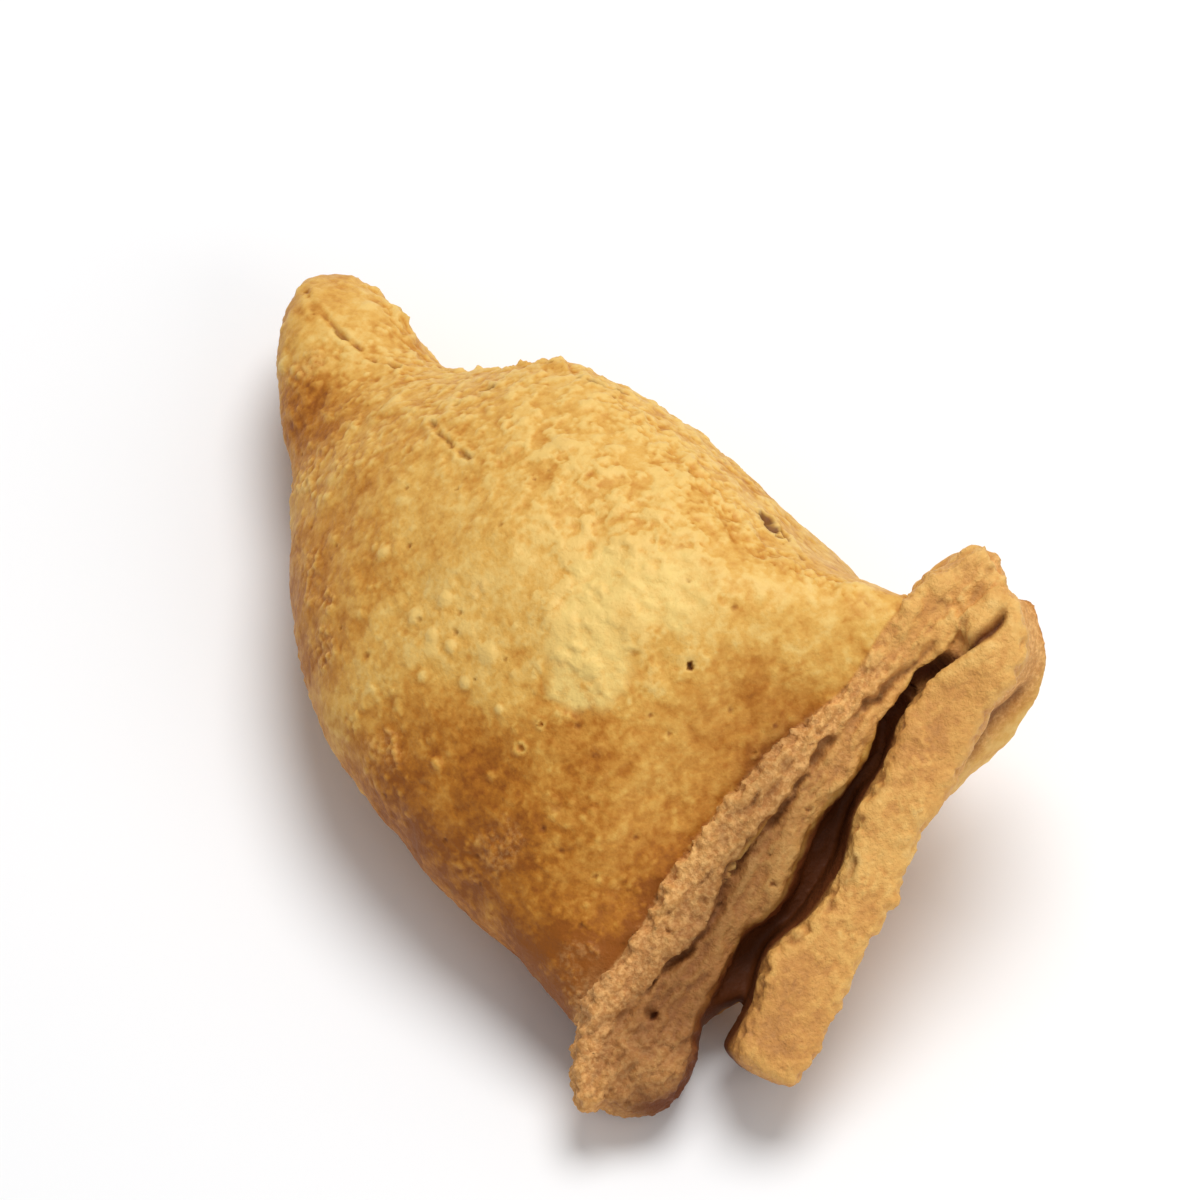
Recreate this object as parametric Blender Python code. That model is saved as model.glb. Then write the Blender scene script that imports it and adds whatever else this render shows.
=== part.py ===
"""Samosa: a filled, fried pastry with three soft corners and an open crimped seam.

It lies on its broad back with its smooth face up. +Y runs from the seam to the tip, +Z is up,
and the origin is the middle of the bottom of its bounding box. The three solids that make it,
the filled body and the two lips of the seam, are joined into one.
"""
import bmesh
import bpy
import numpy as np

# Driving dimensions, in metres
LENGTH = 0.076           # seam's middle to tip
HALF_SPAN = 0.025        # half of the seam, from the low corner to the high one
HEIGHT = 0.034           # floor to the fold beside the high corner
BAND_WIDTH = 0.0052      # raised edge of the front skin along the seam
BAND_RISE = 0.0016       # and how far it stands up
SOFT_FLOOR = 0.0022      # how gently the underside rounds into its flat

# Three folds run from the tip to the corners, each written as (along, across, up): fractions of
# LENGTH, HALF_SPAN and HEIGHT at these places between the tip and the seam
PLACES = (0.0, 0.05, 0.20, 0.40, 0.60, 0.80, 1.0)
TIP = (1.015, -0.05, 0.28)
LOW_FOLD = (TIP, (0.975, -0.24, 0.28), (0.79, -0.62, 0.29), (0.57, -1.04, 0.32),
            (0.36, -1.17, 0.31), (0.14, -1.09, 0.26), (-0.062, -1.05, 0.19))
HIGH_FOLD = (TIP, (0.975, 0.07, 0.31), (0.80, 0.02, 0.43), (0.63, 0.26, 0.73),
             (0.42, 0.28, 0.878), (0.24, 0.272, 0.922), (0.090, 0.59, 0.865))
BACK_FOLD = (TIP, (0.975, 0.06, 0.12), (0.79, 0.16, 0.02), (0.60, 0.48, -0.05),
             (0.40, 0.72, -0.05), (0.24, 0.80, -0.02), (0.13, 0.74, 0.06))

# How far each wall bulges between its folds, at the same places
FACE_BULGE = (0.0, 0.0022, 0.0042, 0.0066, 0.0080, 0.0066, -0.0008)
BACK_BULGE = (0.0, 0.0006, 0.0015, 0.0030, 0.0040, 0.0040, 0.0020)
UNDER_BULGE = (0.0, 0.0010, 0.0050, 0.0085, 0.0100, 0.0095, 0.0055)
FACE_OUT = (-0.45, 0.15, 0.88)
BACK_OUT = (0.92, 0.10, 0.25)
UNDER_OUT = (0.0, 0.0, -1.0)

BASE_OUT = (0.46, -0.85, -0.26)    # the way the closed end faces
BASE_LEVEL = 0.0024                # how far out that way its flat middle lies
INWARD = (0.31, 0.43, -0.85)       # down into the pastry from the seam's cut edges

# A section of the body is a closed curve through eight points: the low fold, two on the smooth
# face, the high fold, one on the back wall, the back fold and two on the underside
SECTION_POINTS = 8
HIGH_FOLD_POINT = 3
FACE_POINTS = ((0.30, 0.95), (0.68, 1.0))    # share of the way up, and of the face's bulge
UNDER_POINTS = (0.35, 0.74)                  # share of the way from the back fold to the low one
SEAM_FADE = 0.45                             # how soon the seam's band fades beside a fold, in points

# Its rows, from the tip to the seam's edge and over it to the middle of the closed end
BODY_COLUMNS = 64
WALL_ROWS = 24
TIP_CROWDING = 1.4                           # above one, rows lie closer together at the tip
BAND_ROWS = (0.95, 0.75, 0.45, 0.25, 0.0)    # in band widths from the seam's edge
BAND_GAP = 0.01                              # share of the length left between wall and band rows
END_ROWS = (0.12, 0.30, 0.45, 0.60, 0.75, 0.88)
END_TURN = 0.7                               # below one, the end turns sharply off the walls
END_FULL = (-1.1, -0.2)                      # across: the end swells between these, low corner first

# The two lips of the seam, each a slab of dough whose cut edge follows a line, written as
# (along, across, up) from the high corner to the low one. Its width, depth, flare towards its
# root and lean towards the closed end are given at even steps along the line, and "rounding"
# says how far each end's rounding reaches.
FRONT_LIP = {
    "line": ((0.080, 0.95, 0.96), (0.068, 0.68, 0.885), (0.046, 0.29, 0.75), (0.008, -0.14, 0.585),
             (-0.024, -0.55, 0.42), (-0.066, -0.97, 0.26), (-0.115, -1.08, 0.21)),
    "width": (0.0046, 0.0048, 0.0048, 0.0050, 0.0060, 0.0092),
    "depth": (0.0070, 0.0095, 0.0100, 0.0100, 0.0095, 0.0085),
    "flare": (0.9, 0.8, 0.3, 0.0),
    "lean": (0.0, 0.0),
    "rounding": (0.0022, 0.0040),
}
REAR_LIP = {
    "line": ((0.074, 0.78, 0.91), (0.036, 0.77, 0.90), (-0.006, 0.70, 0.86), (-0.012, 0.58, 0.805),
             (-0.022, 0.43, 0.74), (-0.056, 0.21, 0.65), (-0.090, 0.00, 0.55),
             (-0.124, -0.25, 0.44), (-0.177, -0.70, 0.265)),
    "width": (0.0050, 0.0054, 0.0056, 0.0054, 0.0048, 0.0064, 0.0070),
    "depth": (0.0070, 0.0105, 0.0140, 0.0145, 0.0125, 0.0095, 0.0085),
    "flare": (0.8, 1.2, 0.6, 0.2, 0.0, 0.0),
    "lean": (0.0, 0.02, -0.16, -0.18, -0.12),
    "rounding": (0.0020, 0.0012),
}
LIP_ROWS = 26
LIP_SIDES = 14
LIP_CROWDING = 0.65      # share of the lip's rows drawn in towards its ends
LIP_SQUARENESS = 0.6     # power that squares the slab's section: one would leave it an ellipse


def placed(fractions):
    """Turn (along, across, up) fractions into metres, as x, y, z."""
    along, across, up = np.asarray(fractions, float).T
    return np.stack([across * HALF_SPAN, along * LENGTH, up * HEIGHT], axis=-1)


def through(knots, values, at):
    """A smooth curve through the values, by cubic pieces with averaged slopes."""
    knots = np.asarray(knots, float)
    values = np.asarray(values, float)
    flat = values.reshape(len(knots), -1)
    slopes = np.gradient(flat, knots, axis=0)
    piece = np.clip(np.searchsorted(knots, at, side="right") - 1, 0, len(knots) - 2)
    width = (knots[piece + 1] - knots[piece])[:, None]
    t = (at - knots[piece])[:, None] / width
    start, end = flat[piece], flat[piece + 1]
    curve = ((2 * t**3 - 3 * t**2 + 1) * start + (t**3 - 2 * t**2 + t) * width * slopes[piece]
             + (3 * t**2 - 2 * t**3) * end + (t**3 - t**2) * width * slopes[piece + 1])
    return curve.reshape((len(at),) + values.shape[1:])


def ring_weights(count, columns):
    """Weights that carry a closed cubic spline through `count` points round a section."""
    spread = np.arange(columns) * count / columns
    piece = spread.astype(int)
    t = spread - piece
    basis = np.zeros((columns, count))
    pieces = ((1 - t)**3, 3 * t**3 - 6 * t**2 + 4, -3 * t**3 + 3 * t**2 + 3 * t + 1, t**3)
    for offset, weight in enumerate(pieces):
        basis[np.arange(columns), (piece + offset - 1) % count] += weight / 6
    passing = np.eye(count) * 4 / 6
    passing += (np.roll(np.eye(count), 1, axis=0) + np.roll(np.eye(count), -1, axis=0)) / 6
    return basis @ np.linalg.inv(passing)


def unit(vector):
    vector = np.asarray(vector, float)
    return vector / np.linalg.norm(vector, axis=-1, keepdims=True)


def smooth_step(low, high, value):
    t = np.clip((value - low) / (high - low), 0, 1)
    return t * t * (3 - 2 * t)


def rest_on_floor(points):
    """Flatten what would reach below the floor, with a soft turn into the flat."""
    height = points[..., 2]
    eased = SOFT_FLOOR * ((height / SOFT_FLOOR + 1) / 2)**2
    height = np.where(height < SOFT_FLOOR, np.where(height > -SOFT_FLOOR, eased, 0.0), height)
    return np.concatenate([points[..., :2], height[..., None]], axis=-1)


def wall_sections(places, columns):
    """Rounded three-cornered sections, one for each place between the tip and the seam."""
    low, high, back = (through(PLACES, placed(fold), places)
                       for fold in (LOW_FOLD, HIGH_FOLD, BACK_FOLD))
    face, wall, under = (through(PLACES, bulge, places)[:, None]
                         for bulge in (FACE_BULGE, BACK_BULGE, UNDER_BULGE))
    face = face * unit(FACE_OUT)
    wall = wall * unit(BACK_OUT)
    under = under * unit(UNDER_OUT)
    points = np.stack(
        [low] + [low + (high - low) * way + face * share for way, share in FACE_POINTS]
        + [high, (high + back) / 2 + wall, back]
        + [back + (low - back) * way + under for way in UNDER_POINTS], axis=1)
    return np.einsum("vk,skc->svc", ring_weights(SECTION_POINTS, columns), points)


def seam_share(columns):
    """One along the seam edge of a section and zero round its other walls."""
    point = np.arange(columns) * SECTION_POINTS / columns
    return (smooth_step(0, SEAM_FADE, point)
            * smooth_step(HIGH_FOLD_POINT, HIGH_FOLD_POINT - SEAM_FADE, point))


def body_grid():
    """Rows from the tip to the seam, over its edge and down to the middle of the closed end."""
    near_seam = 1 - np.array(BAND_ROWS) * BAND_WIDTH / LENGTH
    up_to_band = 1 - BAND_WIDTH / LENGTH - BAND_GAP
    places = np.concatenate([np.linspace(0, 1, WALL_ROWS)**TIP_CROWDING * up_to_band, near_seam])
    walls = wall_sections(places, BODY_COLUMNS)
    along_seam = seam_share(BODY_COLUMNS)[None, :, None]

    # The band steps up at its inner side and rounds over to the seam's edge
    inset = (1 - places)[:, None, None] * LENGTH / BAND_WIDTH
    band = smooth_step(1.0, 0.8, inset) * smooth_step(0.1, 0.4, inset)
    walls = walls + along_seam * band * BAND_RISE * unit(FACE_OUT)

    # The end sinks from the rim to a slanting flat, late below the seam and at once elsewhere
    rim = walls[-1]
    middle = rim.mean(axis=0)
    sink = np.array(END_ROWS)[:, None, None]
    swell = (along_seam * smooth_step(0.25, 0.75, sink)
             + (1 - along_seam) * np.sin(np.pi / 2 * sink)**END_TURN)
    end = rim + (middle - rim) * sink
    short = (BASE_LEVEL - end @ unit(BASE_OUT)) * smooth_step(*END_FULL, end[..., 0] / HALF_SPAN)
    end = end + short[..., None] * swell * unit(BASE_OUT)
    pole = middle + (BASE_LEVEL - middle @ unit(BASE_OUT)) * unit(BASE_OUT)
    rings = np.concatenate([walls[1:], end])
    return rest_on_floor(rings), rest_on_floor(walls[0, 0]), rest_on_floor(pole)


def end_rounding(distance, reach):
    """A quarter circle's rise from nought at an end to one at its reach."""
    return np.sqrt(1 - (1 - np.clip(distance / reach, 0, 1))**2)


def squared(wave):
    return np.sign(wave) * np.abs(wave)**LIP_SQUARENESS


def lip_grid(lip):
    """A rounded slab of dough carried along a line, with its cut edge on the line."""
    line = placed(lip["line"])
    steps = np.linalg.norm(np.diff(line, axis=0), axis=1)
    reach = np.concatenate([[0], np.cumsum(steps)])
    total = reach[-1]
    even = np.linspace(0, 1, LIP_ROWS)
    crowded = (1 - np.cos(np.pi * even)) / 2
    at = ((1 - LIP_CROWDING) * even + LIP_CROWDING * crowded) * total
    centre = through(reach, line, at)
    ahead = unit(np.gradient(centre, at, axis=0))
    wide, deep, flare, lean = (through(np.linspace(0, total, len(lip[name])), lip[name], at)
                               for name in ("width", "depth", "flare", "lean"))
    inward = unit(INWARD) + lean[:, None] * unit(BASE_OUT)
    outward = unit(np.cross(ahead, inward))
    down = unit(np.cross(outward, ahead))
    first, last = lip["rounding"]
    shrink = end_rounding(at, first) * end_rounding(total - at, last)

    # The section's half widths and depths, from the cut edge at nought to the root at two
    turn = np.arange(LIP_SIDES) * 2 * np.pi / LIP_SIDES
    fall = 1 + squared(np.sin(turn))
    flaring = 1 + flare[:, None] * (fall / 2)**3
    spread = (shrink * wide / 2)[:, None] * squared(np.cos(turn)) * flaring
    hang = deep[:, None] / 2 * (1 + shrink[:, None] * (fall - 1))
    rings = (centre[:, None] + spread[..., None] * outward[:, None]
             + hang[..., None] * down[:, None])[1:-1]
    ends = rest_on_floor(centre + deep[:, None] / 2 * down)
    return rest_on_floor(rings), ends[0], ends[-1]


def skin_mesh(name, rings, first_pole, last_pole):
    """Close a stack of rings into one body, with a fan of triangles at each pole."""
    rows, columns, _ = rings.shape
    bm = bmesh.new()
    verts = [[bm.verts.new(point) for point in ring] for ring in rings]
    start = bm.verts.new(first_pole)
    end = bm.verts.new(last_pole)
    for row in range(rows - 1):
        for column in range(columns):
            beside = (column + 1) % columns
            bm.faces.new((verts[row][column], verts[row][beside],
                          verts[row + 1][beside], verts[row + 1][column]))
    for column in range(columns):
        beside = (column + 1) % columns
        bm.faces.new((start, verts[0][beside], verts[0][column]))
        bm.faces.new((end, verts[-1][column], verts[-1][beside]))
    bmesh.ops.triangulate(bm, faces=bm.faces[:])
    bmesh.ops.recalc_face_normals(bm, faces=bm.faces[:])
    mesh = bpy.data.meshes.new(name)
    bm.to_mesh(mesh)
    bm.free()
    return mesh


def crust_material():
    """Fried dough: golden brown, dull, with no metal."""
    crust = bpy.data.materials.new("crust")
    crust.use_nodes = True
    shader = crust.node_tree.nodes["Principled BSDF"]
    shader.inputs["Base Color"].default_value = (0.62, 0.33, 0.085, 1)
    shader.inputs["Roughness"].default_value = 0.55
    shader.inputs["Metallic"].default_value = 0.0
    return crust


def collection(name):
    made = bpy.data.collections.new(name)
    bpy.context.scene.collection.children.link(made)
    return made


def join_solid(target, mesh, helpers):
    """Join a mesh to the target with a Boolean union."""
    helper = bpy.data.objects.new(mesh.name, mesh)
    helper.hide_render = True
    helper.display_type = "WIRE"
    helpers.objects.link(helper)
    union = target.modifiers.new(mesh.name, "BOOLEAN")
    union.operation = "UNION"
    union.object = helper


def apply_modifiers(target):
    bpy.context.view_layer.update()
    evaluated = target.evaluated_get(bpy.context.evaluated_depsgraph_get())
    mesh = bpy.data.meshes.new_from_object(evaluated)
    target.modifiers.clear()
    target.data = mesh


def centre_on_floor(target):
    """Move the mesh so that the middle of the bottom of its box is the origin."""
    mesh = target.data
    points = np.empty(len(mesh.vertices) * 3)
    mesh.vertices.foreach_get("co", points)
    points = points.reshape(-1, 3)
    low, high = points.min(axis=0), points.max(axis=0)
    points -= np.array([(low[0] + high[0]) / 2, (low[1] + high[1]) / 2, low[2]])
    mesh.vertices.foreach_set("co", points.ravel())
    mesh.update()


def build():
    for item in list(bpy.data.objects):
        bpy.data.objects.remove(item)
    parts = collection("samosa_parts")
    helpers = collection("samosa_helpers")

    samosa = bpy.data.objects.new("samosa", skin_mesh("body", *body_grid()))
    parts.objects.link(samosa)
    join_solid(samosa, skin_mesh("front_lip", *lip_grid(FRONT_LIP)), helpers)
    join_solid(samosa, skin_mesh("rear_lip", *lip_grid(REAR_LIP)), helpers)
    apply_modifiers(samosa)
    centre_on_floor(samosa)

    samosa.data.materials.clear()
    samosa.data.materials.append(crust_material())
    samosa.data.shade_smooth()


build()
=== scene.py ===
import bpy
import numpy as np
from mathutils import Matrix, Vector


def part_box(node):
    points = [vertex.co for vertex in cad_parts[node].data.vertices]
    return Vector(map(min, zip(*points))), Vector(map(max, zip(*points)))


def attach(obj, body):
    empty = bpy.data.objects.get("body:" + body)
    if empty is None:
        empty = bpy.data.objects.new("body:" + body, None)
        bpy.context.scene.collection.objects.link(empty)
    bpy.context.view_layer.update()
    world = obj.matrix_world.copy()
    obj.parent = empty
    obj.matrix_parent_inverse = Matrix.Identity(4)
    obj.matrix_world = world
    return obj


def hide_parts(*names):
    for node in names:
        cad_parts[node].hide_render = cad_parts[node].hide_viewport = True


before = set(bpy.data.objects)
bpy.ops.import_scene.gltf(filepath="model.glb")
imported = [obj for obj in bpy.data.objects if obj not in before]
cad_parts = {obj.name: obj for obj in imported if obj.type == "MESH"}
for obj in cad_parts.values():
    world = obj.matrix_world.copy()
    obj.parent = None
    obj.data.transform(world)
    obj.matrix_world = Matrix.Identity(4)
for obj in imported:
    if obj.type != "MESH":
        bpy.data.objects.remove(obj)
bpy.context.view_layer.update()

boxLow, boxHigh = (np.array(corner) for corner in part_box("samosa"))
mm = (boxHigh[1] - boxLow[1]) / 91.9          # one millimetre of the real pastry, from its modelled length

# The pastry's form: three folds run from the tip to the corners, each as (along, across, up),
# fractions of length, halfSpan and height, at these places between the tip and the seam
form = {
    "length": 76 * mm,           # seam's middle to tip
    "halfSpan": 25 * mm,         # half of the seam, from the low corner to the high one
    "height": 34 * mm,           # floor to the fold beside the high corner
    "softFloor": 2.2 * mm,       # how gently the underside rounds into its flat
    "places": (0.0, 0.05, 0.20, 0.40, 0.60, 0.80, 1.0),
    "lowFold": ((1.015, -0.05, 0.28), (0.975, -0.24, 0.28), (0.79, -0.62, 0.29), (0.57, -1.04, 0.32),
                (0.36, -1.17, 0.31), (0.14, -1.09, 0.26), (-0.062, -1.05, 0.19)),
    "highFold": ((1.015, -0.05, 0.28), (0.975, 0.07, 0.31), (0.80, 0.02, 0.43), (0.63, 0.26, 0.73),
                 (0.42, 0.28, 0.878), (0.24, 0.272, 0.922), (0.090, 0.59, 0.865)),
    "backFold": ((1.015, -0.05, 0.28), (0.975, 0.06, 0.12), (0.79, 0.16, 0.02), (0.60, 0.48, -0.05),
                 (0.40, 0.72, -0.05), (0.24, 0.80, -0.02), (0.13, 0.74, 0.06)),
    "faceBulge": (0.0, 2.2, 4.2, 6.6, 8.0, 6.6, -0.8),       # in millimetres, as the next two
    "backBulge": (0.0, 0.6, 1.5, 3.0, 4.0, 4.0, 2.0),
    "underBulge": (0.0, 1.0, 5.0, 8.5, 10.0, 9.5, 5.5),
    "faceOut": (-0.45, 0.15, 0.88),
    "backOut": (0.92, 0.10, 0.25),
    "underOut": (0.0, 0.0, -1.0),
    "baseOut": (0.46, -0.85, -0.26),     # the way the closed end faces
    "baseLevel": 2.4 * mm,               # how far out that way its flat middle lies
    "inward": (0.31, 0.43, -0.85),       # down into the pastry from the seam's cut edges
    "seamFade": 0.45,                    # how soon the seam's edge fades beside a fold, in section points
    "voxel": 0.28 * mm,
    "fillet": 4,                         # smoothing passes that round the joins
    "triangles": 196000,
}

# The two lips of the seam: (along, across, up) of the cut edge from the high corner to the low one, and
# at even steps along it the millimetres from that line to the slab's inner and outer edges, then its
# depth and lean; the flare widens its foot, and the lower the squareness the squarer its section
frontLip = {
    "line": ((0.079, 0.93, 0.95), (0.068, 0.68, 0.885), (0.046, 0.29, 0.75), (0.008, -0.14, 0.585),
             (-0.024, -0.55, 0.42), (-0.066, -0.97, 0.26), (-0.115, -1.08, 0.21)),
    "inner": (-1.7, -2.2, -2.4, -2.4, -2.4, -2.4, -2.4, -2.4, -2.8, -4.3, -4.6),
    "outer": (2.2, 3.6, 1.9, 1.8, 2.3, 2.1, 3.3, 2.6, 3.3, 4.9, 3.4),
    "depth": (7.0, 9.5, 10.0, 10.0, 9.5, 8.5),
    "flare": (0.9, 0.8, 0.3, 0.0),
    "lean": (0.0, 0.0),
    "ends": (3.0, 4.0),
    "squareness": 0.50,
}
rearLip = {
    "line": ((0.074, 0.78, 0.91), (0.036, 0.77, 0.90), (-0.006, 0.70, 0.86), (-0.012, 0.58, 0.805),
             (-0.022, 0.43, 0.74), (-0.056, 0.21, 0.65), (-0.090, 0.00, 0.55), (-0.124, -0.25, 0.44),
             (-0.177, -0.70, 0.265)),
    "inner": (-2.6, -2.9, -3.5, -3.5, -2.8, -3.3, -2.4, -2.8, -4.5, -3.4, -3.2),
    "outer": (2.5, 2.6, 2.6, 3.3, 3.5, 2.8, 3.0, 2.8, 3.2, 3.5, 3.2),
    "depth": (7.0, 10.5, 14.0, 14.5, 12.5, 9.5, 8.5),
    "flare": (0.8, 1.2, 0.6, 0.2, 0.0, 0.0),
    "lean": (0.0, 0.02, -0.16, -0.18, -0.12),
    "ends": (2.0, 1.2),
    "squareness": 0.30,
}
# The torn layer of dough between the front lip and the face; its outer edge is the crack in the band
tornBand = {
    "line": frontLip["line"],
    "inner": (-1.5, -2.9, -3.2, -2.7, -4.3, -5.5, -5.8, -5.9, -5.0, -5.4, -5.5),
    "outer": (2.0, 1.2, 0.6, -0.5, -1.5, -1.8, -2.0, -0.8, -1.6, -2.4, -3.0),
    "depth": (3.0, 3.8, 3.8, 4.2),
    "flare": (0.0, 0.0),
    "lean": (-0.10, -0.12, -0.12, -0.05),
    "sunk": (0.4, 0.1, -0.1, -0.1, -0.25, -0.3, -0.3, -0.3, -0.2, 0.0, 0.6),
    "ends": (2.8, 3.0),
    "squareness": 0.40,
}


def unitVector(vector):
    vector = np.asarray(vector, float)
    return vector / np.linalg.norm(vector, axis=-1, keepdims=True)


# Nought up to low, one past high, and 3t^2 - 2t^3 between them
def smoothStep(low, high, value):
    t = np.clip((value - low) / (high - low), 0, 1)
    return t * t * (3 - 2 * t)


# The same over a distance in metres, between limits in millimetres
def stepOver(low, high, distance):
    return smoothStep(low * mm, high * mm, distance)


# A bell, one in the middle: e^(-x^2)
def bell(x):
    return np.exp(-x**2)


# Fractions (along, across, up) as x, y, z in metres
def placed(fractions):
    along, across, up = np.asarray(fractions, float).T
    return np.stack([across * form["halfSpan"], along * form["length"], up * form["height"]], axis=-1)


# A curve through the values: a cubic between each two knots, its slopes the mean of both sides
def through(knots, values, at):
    knots = np.asarray(knots, float)
    values = np.asarray(values, float)
    flat = values.reshape(len(knots), -1)
    slopes = np.gradient(flat, knots, axis=0)
    piece = np.clip(np.searchsorted(knots, at, side="right") - 1, 0, len(knots) - 2)
    width = (knots[piece + 1] - knots[piece])[:, None]
    t = (at - knots[piece])[:, None] / width
    start, end = flat[piece], flat[piece + 1]
    curve = ((2 * t**3 - 3 * t**2 + 1) * start + (t**3 - 2 * t**2 + t) * width * slopes[piece]
             + (3 * t**2 - 2 * t**3) * end + (t**3 - t**2) * width * slopes[piece + 1])
    return curve.reshape((len(at),) + values.shape[1:])


# Values at even steps, read at shares from 0 to 1
def evenly(values, share):
    return through(np.linspace(0, 1, len(values)), values, share)


# Weights that carry a closed cubic spline through the points round a section
def ringWeights(count, columns):
    spread = np.arange(columns) * count / columns
    piece = spread.astype(int)
    t = spread - piece
    basis = np.zeros((columns, count))
    weights = (1 - t)**3, 3 * t**3 - 6 * t**2 + 4, -3 * t**3 + 3 * t**2 + 3 * t + 1, t**3
    for offset, weight in enumerate(weights):
        basis[np.arange(columns), (piece + offset - 1) % count] += weight / 6
    ring = np.eye(count)
    passing = (4 * ring + np.roll(ring, 1, axis=0) + np.roll(ring, -1, axis=0)) / 6
    return basis @ np.linalg.inv(passing)


# Heights under the floor become nought, with a parabola of this softness as the turn into the flat
def restOnFloor(points, softness):
    height = points[..., 2]
    eased = softness * ((height / softness + 1) / 2)**2
    height = np.where(height < softness, np.where(height > -softness, eased, 0.0), height)
    return np.concatenate([points[..., :2], height[..., None]], axis=-1)


# Rounded three-cornered sections: a closed curve through the three folds and the bulging walls between
def wallSections(places, columns):
    low, high, back = (through(form["places"], placed(form[fold]), places)
                       for fold in ("lowFold", "highFold", "backFold"))
    face, wall, under = (through(form["places"], form[bulge], places)[:, None] * mm * unitVector(form[way])
                         for bulge, way in (("faceBulge", "faceOut"), ("backBulge", "backOut"),
                                            ("underBulge", "underOut")))
    points = np.stack([
        low,
        low + (high - low) * 0.30 + face * 0.95,
        low + (high - low) * 0.68 + face,
        high,
        (high + back) / 2 + wall,
        back,
        back + (low - back) * 0.35 + under,
        back + (low - back) * 0.74 + under,
    ], axis=1)
    return np.einsum("vk,skc->svc", ringWeights(points.shape[1], columns), points)


# The filled body: its wall sections from tip to seam, then rings that close on a slanting flat end
def bodySurface(columns=240, rows=150, capRows=24):
    walls = wallSections(np.linspace(0, 1, rows)**1.4, columns)
    roundWay = np.arange(columns) * 8 / columns
    alongSeam = smoothStep(0, form["seamFade"], roundWay) * smoothStep(3, 3 - form["seamFade"], roundWay)
    alongSeam = alongSeam[None, :, None]
    edge = walls[-1]
    middle = edge.mean(axis=0)
    sink = (np.arange(1, capRows) / capRows)[:, None, None]
    bulge = alongSeam * smoothStep(0.25, 0.75, sink) + (1 - alongSeam) * np.sin(np.pi / 2 * sink)**0.7
    baseOut = unitVector(form["baseOut"])
    cap = edge + (middle - edge) * sink
    short = (form["baseLevel"] - cap @ baseOut) * smoothStep(-1.1, -0.2, cap[..., 0] / form["halfSpan"])
    cap = cap + short[..., None] * bulge * baseOut
    pole = middle + (form["baseLevel"] - middle @ baseOut) * baseOut
    return np.concatenate([walls[1:], cap]), walls[0, 0], pole


# Centre line of a lip and the directions round it: ahead along the seam, out of it, and down into the pastry
def lipFrame(lip, share):
    line = placed(lip["line"])
    reach = np.concatenate([[0], np.cumsum(np.linalg.norm(np.diff(line, axis=0), axis=1))])
    centre = through(reach, line, share * reach[-1])
    ahead = unitVector(np.gradient(centre, share, axis=0))
    inward = unitVector(form["inward"]) + evenly(lip["lean"], share)[:, None] * unitVector(form["baseOut"])
    outward = unitVector(np.cross(ahead, inward))
    down = unitVector(np.cross(outward, ahead))
    return centre, outward, down, reach[-1]


# A slab with a superellipse section and rounded ends, carried along the lip's cut edge
def lipSurface(lip, rows=150, sides=56):
    share = 0.35 * np.linspace(0, 1, rows) + 0.65 * (1 - np.cos(np.linspace(0, np.pi, rows))) / 2
    centre, outward, down, total = lipFrame(lip, share)
    first, last = (end * mm / total for end in lip["ends"])
    shrink = np.sqrt(np.clip(1 - (1 - np.clip(share / first, 0, 1))**2, 0, 1))
    shrink = shrink * np.sqrt(np.clip(1 - (1 - np.clip((1 - share) / last, 0, 1))**2, 0, 1))
    turn = np.arange(sides) * 2 * np.pi / sides
    side, sink = (np.sign(wave) * np.abs(wave)**lip["squareness"] for wave in (np.cos(turn), np.sin(turn)))
    fall = 1 + sink
    inner, outer = (evenly(lip[edge], share)[:, None] * mm for edge in ("inner", "outer"))
    wide = (outer - inner) * (1 + evenly(lip["flare"], share)[:, None] * (fall / 2)**3)
    sunk = evenly(lip.get("sunk", (0, 0)), share)[:, None] * mm
    centre = centre + (inner + outer) / 2 * outward + sunk * down
    deep = evenly(lip["depth"], share)[:, None, None] * mm
    spread = shrink[:, None] * wide / 2 * side
    hang = deep / 2 * (1 + shrink[:, None, None] * (fall - 1)[None, :, None])
    points = centre[:, None] + spread[..., None] * outward[:, None] + hang * down[:, None]
    ends = centre + deep[:, 0] / 2 * down
    return points[1:-1], ends[0], ends[-1]


# Quads between neighbouring rings and a fan at each pole
def ringFaces(rows, columns):
    row, column = np.mgrid[0:rows - 1, 0:columns]
    beside = (column + 1) % columns
    quads = np.stack([row * columns + column, row * columns + beside,
                      (row + 1) * columns + beside, (row + 1) * columns + column], axis=-1).reshape(-1, 4)
    column = np.arange(columns)
    beside = (column + 1) % columns
    last = (rows - 1) * columns
    start = np.stack([np.full(columns, rows * columns), beside, column], axis=-1)
    end = np.stack([np.full(columns, rows * columns + 1), last + column, last + beside], axis=-1)
    return quads.tolist() + start.tolist() + end.tolist()


# One mesh of several ring surfaces, brought to rest on the floor, and its points
def meshFrom(name, surfaces):
    points, faces = [], []
    for rings, firstPole, lastPole in surfaces:
        start = sum(len(some) for some in points)
        faces += [[start + index for index in face] for face in ringFaces(*rings.shape[:2])]
        points.append(np.concatenate([rings.reshape(-1, 3), firstPole[None], lastPole[None]]))
    points = restOnFloor(np.concatenate(points), form["softFloor"])
    mesh = bpy.data.meshes.new(name)
    mesh.from_pydata(points.tolist(), [], faces)
    mesh.update()
    return mesh, points


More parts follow.
